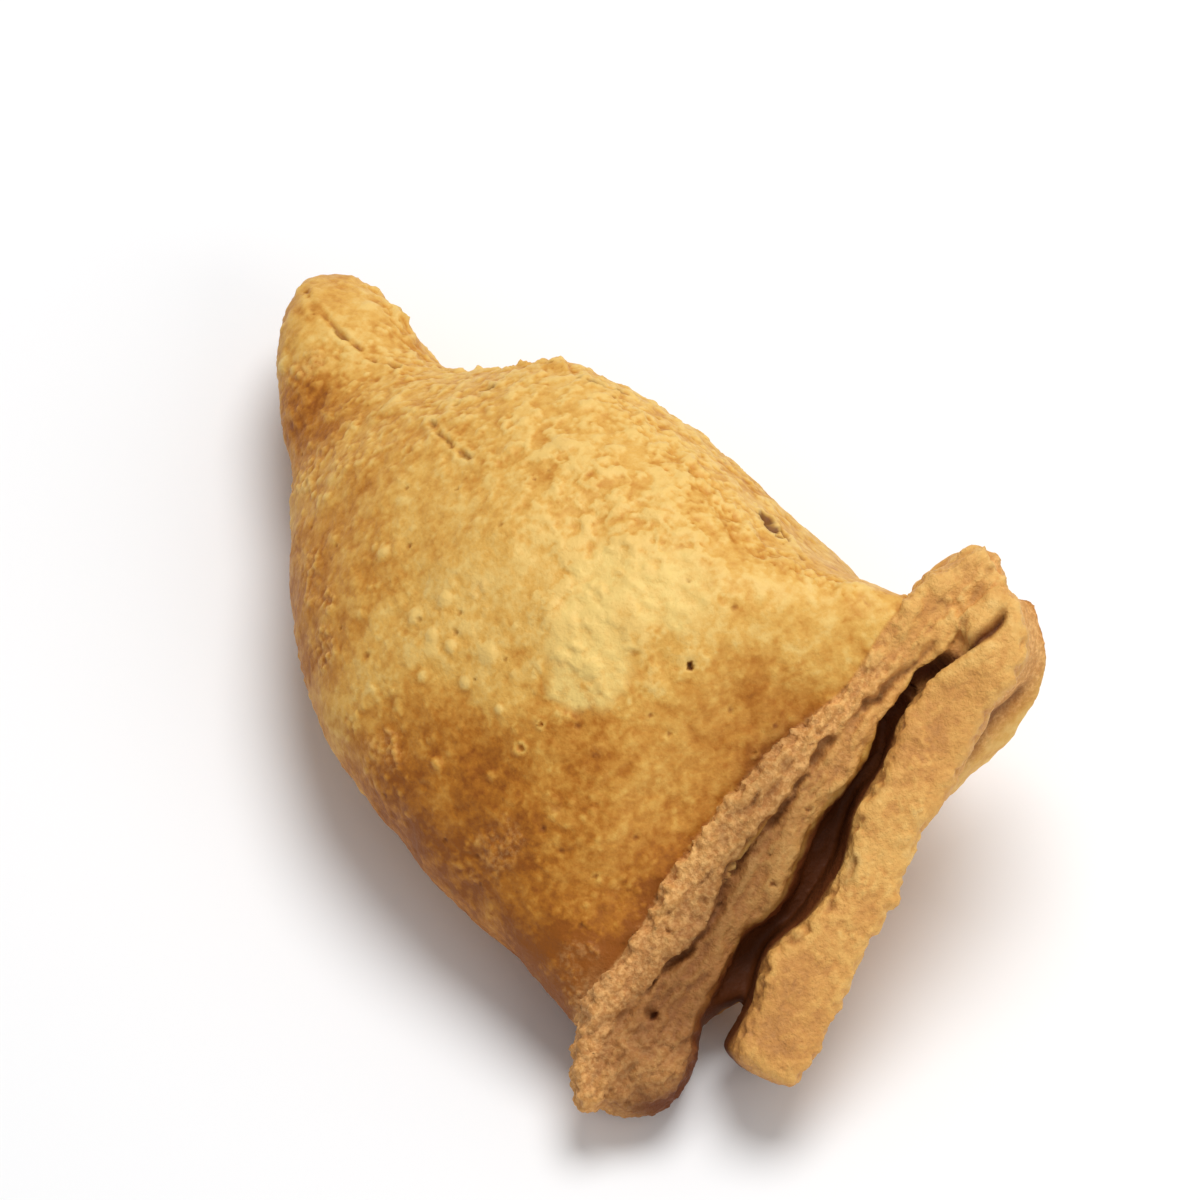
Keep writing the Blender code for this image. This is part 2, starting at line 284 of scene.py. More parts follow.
# One skin round the overlapping bodies: voxels, then smoothing passes that leave a fillet in each join
def unitedSkin(name, mesh):
    draft = bpy.data.objects.new(name + "Draft", mesh)
    bpy.context.scene.collection.objects.link(draft)
    voxels = draft.modifiers.new("voxels", "REMESH")
    voxels.mode = "VOXEL"
    voxels.voxel_size = form["voxel"]
    fillet = draft.modifiers.new("fillet", "SMOOTH")
    fillet.factor = 0.5
    fillet.iterations = form["fillet"]
    bpy.context.view_layer.update()
    skin = bpy.data.meshes.new_from_object(draft.evaluated_get(bpy.context.evaluated_depsgraph_get()))
    bpy.data.objects.remove(draft)
    skin.name = name
    return skin


# A property of the vertices as rows of three numbers
def vertexArray(mesh, what):
    values = np.empty(len(mesh.vertices) * 3, np.float32)
    mesh.vertices.foreach_get(what, values)
    return values.reshape(-1, 3).astype(float)


# A repeatable number from 0 to 1 for each whole-numbered place: its three numbers times large primes,
# mixed with the seed and then with their own shifted bits
placePrimes = (73856093, 19349663, 83492791)
wordMask = 0xFFFFFFFF


def placeChance(cell, seed):
    x, y, z = (cell[..., axis] * prime for axis, prime in enumerate(placePrimes))
    mixed = (x ^ y ^ z ^ (seed * 2654435)) & wordMask
    mixed = (mixed ^ (mixed >> 13)) * 1274126177 & wordMask
    mixed = (mixed ^ (mixed >> 15)) * 1103515245 & wordMask
    return (mixed ^ (mixed >> 16)) / wordMask


# Gradient noise from -1 to 1: a random slope at each lattice corner, faded into its neighbours
def noise(points, size, seed):
    spot = points / size + seed * 7.31
    cell = np.floor(spot).astype(np.int64)
    part = spot - cell
    fade = part**3 * (part * (part * 6 - 15) + 10)
    total = np.zeros(len(points))
    for corner in np.ndindex(2, 2, 2):
        slope = np.stack([placeChance(cell + corner, seed * 3 + axis) for axis in range(3)], axis=-1) * 2 - 1
        share = np.prod(np.where(corner, fade, 1 - fade), axis=-1)
        total += share * np.sum(slope * (part - corner), axis=-1)
    return total * 1.6


# Noise with finer and fainter copies added
def layeredNoise(points, size, seed, layers=3, falloff=0.5):
    total = sum(noise(points, size / 2**layer, seed + layer) * falloff**layer for layer in range(layers))
    return total / sum(falloff**layer for layer in range(layers))


# Distance to a curve and the index of its nearest point, worked out in blocks to spare memory
def nearestOn(curve, points):
    nearest = np.empty(len(points), int)
    for part in np.array_split(np.arange(len(points)), max(1, len(points) * len(curve) // 4000000)):
        away = np.sum(curve**2, axis=1)[None] - 2 * points[part] @ curve.T
        nearest[part] = away.argmin(axis=1)
    return np.linalg.norm(points - curve[nearest], axis=1), nearest


# The small cube of space that each point lies in, and one number for it in place of three
cubeShift, cubeSpan = 1000, 2048
cubeKey = np.array([1, cubeSpan, cubeSpan**2])


def cubeOf(points, spacing):
    return np.floor(points / spacing).astype(np.int64) + cubeShift


# Spots spread over the skin: one for each small cube of space that the skin crosses, nudged along the
# skin by up to half a cube, with three chances from 0 to 1 of its own
def skinSpots(points, normals, spacing, seed):
    keys, member = np.unique(cubeOf(points, spacing) @ cubeKey, return_inverse=True)
    crowd = np.bincount(member)
    centre, normal = (np.stack([np.bincount(member, values[:, axis]) for axis in range(3)], axis=-1)
                      for values in (points, normals))
    centre = centre / crowd[:, None]
    normal = unitVector(normal + 1e-9)
    cell = np.stack([keys % cubeSpan, keys // cubeSpan % cubeSpan, keys // cubeSpan**2], axis=-1)
    chance = np.stack([placeChance(cell, seed + axis) for axis in range(6)], axis=-1)
    nudge = (chance[:, :3] - 0.5) * spacing
    nudge -= np.sum(nudge * normal, axis=1)[:, None] * normal
    return {"spacing": spacing, "keys": keys, "centres": centre + nudge, "chance": chance[:, 3:]}


# Profiles over a distance in radii: a dome (1 - d^2)^1.5, a bowl 1 - d^2, and a rim that is a bell at one
def dome(away):
    return np.clip(1 - away**2, 0, 1)**1.5


def bowl(away):
    return np.clip(1 - away**2, 0, 1)


def rim(away):
    return bell((away - 1) / 0.42)


# The highest at each point of what the spot in its own cube and the 26 round it raise
def raised(points, spots, radii, heights, shape):
    cell = cubeOf(points, spots["spacing"])
    highest = np.zeros(len(points))
    for step in np.ndindex(3, 3, 3):
        key = (cell + np.array(step) - 1) @ cubeKey
        found = np.minimum(np.searchsorted(spots["keys"], key), len(spots["keys"]) - 1)
        away = np.linalg.norm(points - spots["centres"][found], axis=1) / radii[found]
        highest = np.maximum(highest, shape(away) * heights[found] * (spots["keys"][found] == key))
    return highest


# The highest of a few marked shapes, each given as (along, across, up, radius in millimetres)
def marked(points, marks, shape):
    marks = np.array(marks)
    highest = np.zeros(len(points))
    for centre, radius in zip(placed(marks[:, :3]) + settle, marks[:, 3] * mm):
        highest = np.maximum(highest, shape(np.linalg.norm(points - centre, axis=1) / radius))
    return highest


# Where each point of the skin lies: along which fold, on which lip, and how far across the seam
def skinPlaces(points, normals):
    places = {}
    steps = 140
    folds = wallSections(np.linspace(0, 1, steps + 1), 64) + settle
    for name, corner in (("low", 0), ("high", 3), ("back", 5)):        # of the eight points of a section
        places[name + "Away"], nearest = nearestOn(folds[:, corner * 8], points)
        places[name + "Share"] = nearest / steps
    share = np.linspace(0, 1, 201)
    for name, lip in (("rear", rearLip), ("front", frontLip)):
        centre, outward, down, total = lipFrame(lip, share)
        places[name + "Away"], nearest = nearestOn(centre + settle, points)
        offset = points - centre[nearest] - settle
        places[name + "Share"] = share[nearest]
        places[name + "Out"] = np.sum(offset * outward[nearest], axis=1)
        places[name + "Inner"] = places[name + "Out"] - evenly(lip["inner"], share)[nearest] * mm
        places[name + "Outer"] = evenly(lip["outer"], share)[nearest] * mm - places[name + "Out"]
        places[name + "Down"] = np.sum(offset * down[nearest], axis=1)
    places["across"] = offset @ unitVector(band["acrossSeam"])
    places["faceOn"] = smoothStep(-0.1, 0.35, normals @ unitVector(form["faceOut"]))
    return places


# Mean of a value over each point's neighbours along the mesh's edges
def neighbourMean(values, edges, repeats):
    values = values.reshape(len(values), -1)
    crowd = np.bincount(edges.ravel(), minlength=len(values))
    for _ in range(repeats):
        total = [np.bincount(edges[:, 0], column[edges[:, 1]], len(values))
                 + np.bincount(edges[:, 1], column[edges[:, 0]], len(values)) for column in values.T]
        values = 0.5 * values + 0.5 * np.stack(total, axis=-1) / crowd[:, None]
    return values


# The band of torn dough along the seam: how deep its crack is at even steps from the high corner to the
# low one, its jagged edge, the splits and streaks beside the crack, the start of the slit, its crumbs, and
# its small holes, each as (share along the seam, millimetres across it, radius in millimetres)
band = {
    "acrossSeam": (0.32, -0.88, -0.33),
    "crackDepth": (0.0, 0.0, 0.3, 1.0, 0.9, 0.8, 0.7, 0.8, 1.0, 0.4, 0.0),
    "crackWidth": 0.34 * mm, "crackWander": 0.5 * mm, "crackDeep": 1.0 * mm, "crackLift": 0.12 * mm,
    "jag": 0.72 * mm, "jagSize": 2.6 * mm,
    "splitDeep": 0.40 * mm,
    "streakSize": 1.5 * mm, "streakStep": 0.24 * mm, "streakRise": 0.42 * mm,
    "drawnOut": 0.65,                    # how far the streaks are drawn out along the seam
    "wallRough": 0.6 * mm, "wallSize": 2.6 * mm,
    "gapWidth": 0.40 * mm, "gapDeep": 1.3 * mm,
    "knobRough": 0.30 * mm,
    "grainSpacing": 0.66 * mm, "grainRise": 0.26 * mm,
    "seamLength": 60 * mm,
    "pitDeep": 0.55 * mm,
    "pits": ((0.48, 0.4, 0.40), (0.44, -1.2, 0.40), (0.62, -1.9, 0.55), (0.57, -2.4, 0.45), (0.60, 1.6, 0.40),
             (0.68, -2.6, 0.50), (0.38, -2.6, 0.45), (0.30, -0.9, 0.45), (0.86, -0.5, 0.55),
             (0.90, 2.2, 0.50), (0.75, -3.4, 0.40), (0.52, -3.6, 0.45)),
}
# The loose strip of the rear lip: its nicked edges, dents and thin layers, the step down to its side face,
# the crack along that face, and a nub of dough on its outer edge
looseStrip = {
    "edgeRough": 0.55 * mm, "nick": 0.2 * mm,
    "dent": 0.34 * mm, "dentSize": 3.8 * mm,
    "layer": 0.12 * mm, "layerSize": 2.6 * mm,
    "sideStep": 0.70 * mm,
    "seamOut": 4.1 * mm, "seamWander": 0.5 * mm, "seamWidth": 0.27 * mm, "seamDeep": 0.4 * mm,
    "nubShare": 0.615, "nubRadius": 1.0 * mm, "nubRise": 0.7 * mm,
    "length": 50 * mm,
    "dusting": 0.6,                      # how high its crumbs stand beside those of the skin
}
# The fried skin: broad lumps, torn flakes, blisters, crumbs, holes and cracks
fried = {
    "lump": 0.55 * mm, "lumpSize": 13 * mm,
    "dent": 0.32 * mm, "dentSize": 6 * mm,
    "ripple": 0.17 * mm, "rippleSize": 2.2 * mm,
    "flake": 0.19 * mm, "flakeSize": 3.4 * mm,
    "blisterSpacing": 2.5 * mm, "bumpSpacing": 1.15 * mm, "bumpRise": 0.32 * mm,
    "craterRim": 0.17 * mm, "craterDeep": 0.22 * mm,
    "crumbSpacing": 0.8 * mm, "crumbRise": 0.28 * mm,
    "ridge": 0.70 * mm, "ridgeWidth": 1.6 * mm,
    "crackWidth": 0.19 * mm, "crackDeep": 0.32 * mm, "crackLift": 0.12 * mm,
    "pitDeep": 0.90 * mm, "pitFray": 0.7 * mm,
    "pinSpacing": 5 * mm, "pinDeep": 0.20 * mm,
}
# Marks on the skin, each as (along, across, up, radius in millimetres)
bumps = ((0.464, -0.779, 0.709, 1.1), (0.427, -0.782, 0.722, 0.9), (0.400, -0.764, 0.739, 0.8),
         (0.448, -0.682, 0.768, 1.0), (0.355, -0.804, 0.717, 0.8), (0.358, -0.694, 0.778, 1.3),
         (0.401, -0.881, 0.669, 0.7), (0.301, -0.770, 0.725, 0.6), (0.318, -1.006, 0.576, 0.7),
         (0.257, -0.906, 0.618, 0.7), (0.520, -0.860, 0.600, 0.9), (0.560, -0.700, 0.680, 1.0))
craters = ((0.252, -0.787, 0.688, 0.48), (0.252, -0.696, 0.738, 0.34))
flakyPlaces = ((0.29, -0.25, 0.92, 10.0), (0.26, -0.48, 0.85, 6.0))
crumbPatches = ((0.754, -0.621, 0.439, 3.6), (0.885, -0.320, 0.410, 2.6), (0.632, -0.879, 0.473, 3.2),
                (0.588, -0.907, 0.520, 2.4), (0.541, -1.006, 0.492, 2.8), (0.380, -1.090, 0.512, 3.2),
                (0.200, -1.000, 0.500, 3.0), (0.046, -1.010, 0.337, 3.6), (0.200, -0.955, 0.539, 2.2))
pits = ((0.306, 0.402, 0.818, 0.95), (0.290, 0.390, 0.832, 0.8), (0.272, 0.386, 0.845, 0.5),
        (0.669, -0.023, 0.724, 0.55), (0.189, -0.188, 0.861, 0.4), (-0.047, -0.871, 0.296, 0.45),
        (-0.028, -1.064, 0.222, 0.5), (0.580, 0.253, 0.790, 0.4), (0.559, 0.320, 0.773, 0.35))
# Cracks in the skin, each a line of (along, across, up)
cracks = (((0.985, -0.120, 0.350), (0.960, -0.145, 0.385), (0.940, -0.173, 0.403)),
          ((0.943, -0.153, 0.401), (0.910, -0.166, 0.424), (0.883, -0.167, 0.437), (0.862, -0.152, 0.447)),
          ((0.840, -0.159, 0.459), (0.823, -0.123, 0.466), (0.805, -0.110, 0.480)),
          ((0.667, -0.263, 0.712), (0.640, -0.285, 0.750), (0.612, -0.293, 0.779)),
          ((0.600, -0.290, 0.790), (0.580, -0.288, 0.810)),
          ((0.300, 0.432, 0.797), (0.276, 0.412, 0.817), (0.246, 0.394, 0.849), (0.225, 0.370, 0.870)),
          ((0.590, 0.235, 0.785), (0.572, 0.275, 0.785), (0.552, 0.335, 0.775)))


# The torn band along the seam: its jagged edge over the face, its crack, and the crumbly low corner
def seamRelief(points, normals, places):
    share, across = places["frontShare"], places["across"]
    facingOut = normals @ unitVector(band["acrossSeam"])
    edge = across - evenly(tornBand["inner"], share) * mm
    near = stepOver(10, 8.5, places["frontAway"]) * places["faceOn"]
    onBand = stepOver(-0.5, 0, edge) * stepOver(-0.5, 0.4, places["frontOuter"]) * near

    inEdge = smoothStep(0.15, 0.6, -facingOut) * stepOver(1.6, 0.5, np.abs(edge)) * near
    inEdge *= smoothStep(0.06, 0.16, share)
    height = inEdge * band["jag"] * layeredNoise(points, band["jagSize"], 11, 3, 0.7) * 2.0

    wander = layeredNoise(points, 2.8 * mm, 21) * band["crackWander"] * 2
    fromCrack = across - evenly(tornBand["outer"], share) * mm - wander
    off = fromCrack / band["crackWidth"]
    depth = np.clip(evenly(band["crackDepth"], share), 0, 1)
    crack = bell(off) * depth * smoothStep(-0.35, 0.15, noise(points, 2.4 * mm, 25)) * onBand
    height += bell(np.abs(off) - 2.2) * band["crackLift"] * onBand * depth - crack * band["crackDeep"]
    split = bell((off + 6 + 3 * noise(points, 4 * mm, 27)) / 0.8) * onBand
    split *= smoothStep(0.2, 0.35, share) * smoothStep(0.0, 0.4, noise(points, 3 * mm, 28))
    height -= split * band["splitDeep"]

    # the same noise read on points squeezed along the seam comes out as streaks that follow it
    seamWay = unitVector(placed(frontLip["line"][-2]) - placed(frontLip["line"][1]))
    squeezed = points - band["drawnOut"] * (points @ seamWay)[:, None] * seamWay
    streaks = layeredNoise(squeezed, band["streakSize"], 29, 3, 0.6)
    height += onBand * (band["streakStep"] * smoothStep(-0.05, 0.10, streaks) + band["streakRise"] * streaks)
    split = np.maximum(split, smoothStep(-0.28, -0.42, streaks) * 0.8 * onBand)
    for place, offset, radius in band["pits"]:
        away = np.hypot((share - place) * band["seamLength"], across - offset * mm)
        height -= bowl(away / (radius * mm)) * band["pitDeep"] * onBand

    outerWall = stepOver(0.2, 1.2, places["frontOut"]) * stepOver(7, 4, places["frontAway"])
    outerWall *= smoothStep(0.1, 0.6, facingOut) * smoothStep(0.10, 0.20, share)
    height += layeredNoise(points, band["wallSize"], 35, 3, 0.6) * band["wallRough"] * outerWall
    # the gap at the slit's start: a groove that also takes the slit's painted shade
    gap = bell((places["frontOuter"] + 0.1 * mm - wander * 0.4) / band["gapWidth"])
    gap *= smoothStep(0.36, 0.30, share) * smoothStep(0.055, 0.085, share)
    gap *= stepOver(7, 5.5, places["frontAway"]) * stepOver(4.5, 3, places["frontDown"])
    height -= gap * band["gapDeep"]

    knob = smoothStep(0.82, 0.90, share) * stepOver(7.5, 6, places["frontAway"])
    height += knob * band["knobRough"] * layeredNoise(points, 1.1 * mm, 39, 2)
    crumbly = onBand * (0.40 + 0.60 * stepOver(0.5, -0.4, fromCrack))
    crumbly *= 0.15 + 0.85 * smoothStep(0.15, 0.35, share)
    return height, {"onBand": onBand, "crack": np.clip(crack + split * 0.6, 0, 1), "gap": gap,
                    "crumbly": np.maximum(crumbly, knob * 0.8), "edge": edge, "knob": knob}


# The loose strip: nicked edges, a faint grain and shallow dents on top, and its cracked side face
def stripRelief(points, places):
    share, away, out, down = (places["rear" + name] for name in ("Share", "Away", "Out", "Down"))
    inner, outer = places["rearInner"], places["rearOuter"]
    fromEdge = np.minimum(inner, outer)
    onStrip = stepOver(8, 6.5, away) * stepOver(-0.9, -0.3, fromEdge)
    top = onStrip * stepOver(2.6, 0.8, down)
    rough = looseStrip["edgeRough"] * np.minimum(layeredNoise(points, 1.6 * mm, 37, 2) * 1.6, 0.25)
    height = onStrip * stepOver(3.5, 1.5, down) * stepOver(0.9, 0.2, fromEdge) * rough
    height += onStrip * looseStrip["dent"] * layeredNoise(points, looseStrip["dentSize"], 41, 4, 0.6)
    layers = layeredNoise(points, looseStrip["layerSize"], 43, 3, 0.6)
    height += top * looseStrip["layer"] * smoothStep(0.0, 0.12, layers)

    side = stepOver(0, -0.30, outer + 0.25 * mm * noise(points, 2 * mm, 45)) * stepOver(12, 9, away)
    height -= side * looseStrip["sideStep"]
    fromSeam = out - looseStrip["seamOut"] - looseStrip["seamWander"] * noise(points, 3 * mm, 47)
    seam = bell(fromSeam / looseStrip["seamWidth"]) * side
    seam *= smoothStep(0.14, 0.20, share) * smoothStep(0.42, 0.35, share)
    fromNub = np.stack([(share - looseStrip["nubShare"]) * looseStrip["length"], outer, down - 0.7 * mm])
    nub = bowl(np.linalg.norm(fromNub, axis=0) / looseStrip["nubRadius"]) * onStrip
    nicks = stepOver(1.3, 0.2, inner) * smoothStep(0.12, 0.35, noise(points, 1.6 * mm, 49)) * top
    height += nub * looseStrip["nubRise"] - seam * looseStrip["seamDeep"] - nicks * looseStrip["nick"]
    return height, {"top": top, "onStrip": np.maximum(onStrip, side), "side": side, "seam": seam,
                    "nicks": nicks}


# Lumps, torn flakes and blisters of the fried skin, where it isn't torn dough
def faceRelief(points, normals, places, torn):
    f = fried
    whole = 1 - torn
    height = f["lump"] * layeredNoise(points, f["lumpSize"], 1, 2) * (0.4 + 0.6 * whole)
    height += f["dent"] * noise(points, f["dentSize"], 3) * (0.3 + 0.7 * whole)
    height += f["ripple"] * layeredNoise(points, f["rippleSize"], 5, 3, 0.6)

    upper = stepOver(19, 8, places["highAway"]) * smoothStep(0.1, 0.25, places["highShare"])
    flaky = np.clip(0.35 + 0.75 * upper + marked(points, flakyPlaces, bowl), 0, 1.2) * whole
    nearCorner = smoothStep(0.72, 0.86, places["highShare"]) * stepOver(22, 16, places["highAway"])
    flaky *= 1 - 0.8 * nearCorner        # smoother beside the high corner of the seam
    first = smoothStep(-0.06, 0.26, layeredNoise(points, f["flakeSize"], 6, 4, 0.62))
    second = smoothStep(0.0, 0.24, layeredNoise(points, f["flakeSize"] * 0.5, 16, 3, 0.62))
    flake = (first + 0.8 * second) * flaky
    height += f["flake"] * flake

    patchy = smoothStep(-0.1, 0.5, layeredNoise(points, 9 * mm, 61, 2)) * stepOver(20, 8, places["lowAway"])
    spots = skinSpots(points, normals, f["blisterSpacing"], 40)
    chance = spots["chance"]
    radii = (0.55 + 0.55 * chance[:, 0]**2) * mm
    grown = np.interp(chance[:, 1], (0, 0.6, 1), (0, 0, 1))        # only the luckier spots are blisters
    blister = raised(points, spots, radii, radii * 0.30 * grown, dome) * np.clip(0.25 + patchy, 0, 1)
    spots = skinSpots(points, normals, f["bumpSpacing"], 44)
    chance = spots["chance"]
    radii = (0.30 + 0.25 * chance[:, 0]) * mm
    small = raised(points, spots, radii, radii * 0.34 * (chance[:, 1] > 0.62), dome)
    blister = np.maximum(blister, small * np.clip(0.35 + patchy, 0, 1))
    blister += marked(points, bumps, dome) * f["bumpRise"]
    burst = marked(points, craters, rim)
    burstRise = burst * f["craterRim"] - marked(points, craters, bowl) * f["craterDeep"]
    height += (blister + burstRise) * whole

    crest = bell(places["highAway"] / f["ridgeWidth"]) * smoothStep(0.02, 0.12, places["highShare"])
    crest *= smoothStep(0.99, 0.88, places["highShare"])
    height += crest * f["ridge"] * np.maximum(layeredNoise(points, 2.2 * mm, 81, 4, 0.6) * 2.0, -0.25)
    return height, {"blister": blister + burst * 0.2 * mm, "flake": flake}


# Small crowded domes, each from a quarter to one high
def crumbs(points, normals, spacing, seed):
    spots = skinSpots(points, normals, spacing, seed)
    chance = spots["chance"]
    radii = spacing * (0.42 + 0.30 * chance[:, 0])
    return raised(points, spots, radii, 0.25 + 0.75 * chance[:, 1], dome)


# Thin cracks with lifted sides: their height, and one where the crack is, which the finish darkens as painted
# shade
def crackRelief(points):
    curve = np.concatenate([evenly(placed(line), np.linspace(0, 1, 60)) for line in cracks])
    away = nearestOn(curve + settle, points)[0] + 0.30 * mm * layeredNoise(points, 1.6 * mm, 83, 3)
    thin = bell(away / fried["crackWidth"]) * smoothStep(-0.25, 0.15, noise(points, 1.3 * mm, 85))
    lifted = bell((away - 0.55 * mm) / (0.28 * mm))
    return fried["crackLift"] * lifted - fried["crackDeep"] * thin, thin


# The marked holes with frayed rims and the pinholes between them: their height and how dark they are, a
# painted shade in the holes
def pitRelief(points, normals):
    fray = np.stack([layeredNoise(points, 1.3 * mm, seed) for seed in (87, 88, 89)], axis=-1)
    pit = marked(points + fray * fried["pitFray"], pits, bowl)
    spots = skinSpots(points, normals, fried["pinSpacing"], 90)
    chance = spots["chance"]
    pin = raised(points, spots, (0.18 + 0.16 * chance[:, 0]) * mm, (chance[:, 1] > 0.7) * 1.0, bowl)
    return -pit * fried["pitDeep"] - pin * fried["pinDeep"], smoothStep(0.02, 0.45, pit) + pin * 0.45


# Painted shade deep in the slit: one on the walls deep between the two lips, nought outside
def paintedSlitShadeMask(places):
    rearWall = stepOver(1, 4.5, places["rearDown"]) * stepOver(-0.5, -1.6, places["rearOut"])
    rearWall *= stepOver(16, 10, places["rearAway"])
    frontWall = stepOver(0.8, 4, places["frontDown"]) * stepOver(0.6, 1.6, places["frontOut"])
    frontWall *= stepOver(13, 9, places["frontAway"]) * stepOver(0.5, -0.5, places["rearOut"])
    frontWall *= smoothStep(0.90, 0.74, places["frontShare"])
    shade = np.clip(rearWall + frontWall, 0, 1) * smoothStep(0.02, 0.10, places["rearShare"])
    return shade * stepOver(12, 8, np.minimum(places["frontAway"], places["rearAway"]))


# Heights to add along the normals, and the masks that the finish reads
def skinRelief(points, normals, places):
    height, seam = seamRelief(points, normals, places)
    stripHeight, strip = stripRelief(points, places)
    torn = np.clip(seam["onBand"] + strip["onStrip"] + seam["knob"], 0, 1)
    faceHeight, face = faceRelief(points, normals, places, torn)
    crackHeight, thin = crackRelief(points)
    pitHeight, holeShade = pitRelief(points, normals)
    height += stripHeight + faceHeight + crackHeight + pitHeight

    patch = marked(points, crumbPatches, bowl) * (1 - torn)
    patch = smoothStep(0.25, 0.75, patch * 0.8 + 0.9 * layeredNoise(points, 2.4 * mm, 73))
    dusted = strip["top"] * smoothStep(0.1, 0.5, noise(points, 3 * mm, 79))
    heaps = ((seam["crumbly"], band["grainSpacing"], band["grainRise"], 31),
             (patch, fried["crumbSpacing"], fried["crumbRise"], 77),
             (dusted, fried["crumbSpacing"], fried["crumbRise"] * looseStrip["dusting"], 78))
    grains = np.zeros(len(points))
    for where, spacing, rise, seed in heaps:
        heap = crumbs(points, normals, spacing, seed) * where
        height += heap * rise
        grains += heap
    masks = {
        "blister": face["blister"] / (0.26 * mm) * (1 - torn),
        "flake": face["flake"],
        "torn": torn,
        "grain": grains,
        "crumbly": seam["crumbly"] + patch * 0.35 + strip["side"] * 0.9 + strip["onStrip"] * 0.18,
        # cracks, splits, holes, the strip's side crack and its nicks darkened: painted shade in these
        # recesses
        "grooveShade": seam["crack"] * 0.62 + holeShade + thin * 0.75 + strip["seam"] * 0.9 + strip["nicks"] * 0.35,
        # the slit's walls and the gap at its start: painted shade
        "paintedSlitShade": np.maximum(paintedSlitShadeMask(places), seam["gap"]),
        "knob": seam["knob"],
        "edge": seam["edge"],
    }
    return height, masks


lips = [lipSurface(lip) for lip in (frontLip, tornBand, rearLip)]
bodyMesh, draftPoints = meshFrom("pastryDraft", [bodySurface()] + lips)
draftMiddle = (draftPoints.min(axis=0) + draftPoints.max(axis=0)) / 2
boxMiddle = (boxLow + boxHigh) / 2
settle = np.array([boxMiddle[0] - draftMiddle[0], boxMiddle[1] - draftMiddle[1], 0.0])    # onto the solid
skin = unitedSkin("crust", bodyMesh)
points = vertexArray(skin, "co") + settle
normals = vertexArray(skin, "normal")
print("skin united:", len(points), "points,", len(skin.polygons), "faces")

places = skinPlaces(points, normals)
height, masks = skinRelief(points, normals, places)
shaped = restOnFloor(points + height[:, None] * normals, 0.25 * mm)
skin.vertices.foreach_set("co", shaped.astype(np.float32).ravel())
skin.update()
edges = np.empty(len(skin.edges) * 2, np.int32)
skin.edges.foreach_get("vertices", edges)
edges = edges.reshape(-1, 2)
normals = vertexArray(skin, "normal")
print("relief made")


# How far each point lies below its neighbours' mean, close by and further round; the finish darkens the
# hollows by it, a painted shade
def hollowness(points, normals, edges):
    near = neighbourMean(points, edges, 5)
    wide = neighbourMean(near, edges, 60)
    close = np.sum((near - points) * normals, axis=1) / (0.10 * mm)
    return close + np.sum((wide - points) * normals, axis=1) / (0.50 * mm)


# How brown the skin is, from 0 to 1: the frying's browning, with painted shade in it where the low fold, the
# low corner, the face beside the band and the underside are darker.
# The marks are places of their own, each as (along, across, up, radius in millimetres, change); the darker
# ones on the low side are partly painted shade, the paler ones on the upper face partly painted light
browningAndShade = {
    "base": 0.20,
    "lowFold": 0.22, "lowCorner": 0.26,
    "bandEdge": 0.06, "bandEdgeLow": 0.24,
    "underside": 0.22,
    "torn": 0.15, "knob": -0.08,
    "marks": ((0.824, -0.46, 0.43, 7.0, 0.34), (0.70, -0.45, 0.58, 8.0, 0.10),
              (0.09, -0.95, 0.42, 14.0, 0.20), (0.10, -0.15, 0.72, 9.0, 0.26),
              (0.19, -0.50, 0.76, 9.0, 0.16), (0.20, -0.80, 0.62, 10.0, 0.22),
              (0.29, -0.20, 0.93, 11.0, -0.18), (0.38, -0.59, 0.83, 11.0, -0.20),
              (0.50, 0.00, 0.88, 14.0, -0.12), (0.60, -0.88, 0.50, 10.0, 0.26),
              (0.30, -1.10, 0.49, 12.0, 0.42), (0.91, -0.10, 0.42, 8.0, -0.12),
              (0.067, -1.05, 0.31, 6.0, 0.22), (-0.01, 0.35, 0.72, 9.0, 0.24),
              (-0.08, 0.05, 0.58, 8.0, -0.08), (-0.15, -0.60, 0.30, 9.0, 0.18)),
}
# A painted highlight: the pale patch on the upper face, as (along, across, up, radius in millimetres)
highlightPlaces = ((0.325, -0.25, 0.93, 4.2), (0.27, -0.11, 0.95, 5.0), (0.26, -0.48, 0.85, 5.2),
              (0.30, -0.38, 0.89, 3.6))


# The base and what each part adds, faded over its edges; the darkening of the low side, beside the band and
# underneath is partly painted shade
def browningAndShadeTone(points, places, normals, masks):
    # darker along the low fold and at the low corner: partly browning, partly painted shade
    tone = browningAndShade["base"] + browningAndShade["lowFold"] * stepOver(10, 2, places["lowAway"])
    lowCorner = smoothStep(0.45, 0.95, places["lowShare"]) * stepOver(22, 6, places["lowAway"])
    tone += browningAndShade["lowCorner"] * lowCorner
    for *spot, radius, change in browningAndShade["marks"]:
        tone += change * marked(points, ((*spot, radius),), bowl)
    # darker on the face beside the band: partly painted shade in the crease
    nearBand = stepOver(-7, -0.5, masks["edge"]) * stepOver(14, 9, places["frontAway"]) * places["faceOn"]
    lowEnd = smoothStep(0.35, 0.75, places["frontShare"])
    tone += nearBand * (1 - masks["torn"]) * (browningAndShade["bandEdge"] + browningAndShade["bandEdgeLow"] * lowEnd)
    # darker where the skin faces down: painted shade
    tone += browningAndShade["underside"] * smoothStep(0.0, -0.8, normals[:, 2])
    return tone + browningAndShade["torn"] * masks["torn"] + browningAndShade["knob"] * masks["knob"]


# A value from 0 to 1 for each point, kept with the mesh for the material to read
def storeField(mesh, name, values):
    stored = mesh.attributes.new(name, "FLOAT", "POINT")
    stored.data.foreach_set("value", np.clip(values, 0, 1).astype(np.float32))


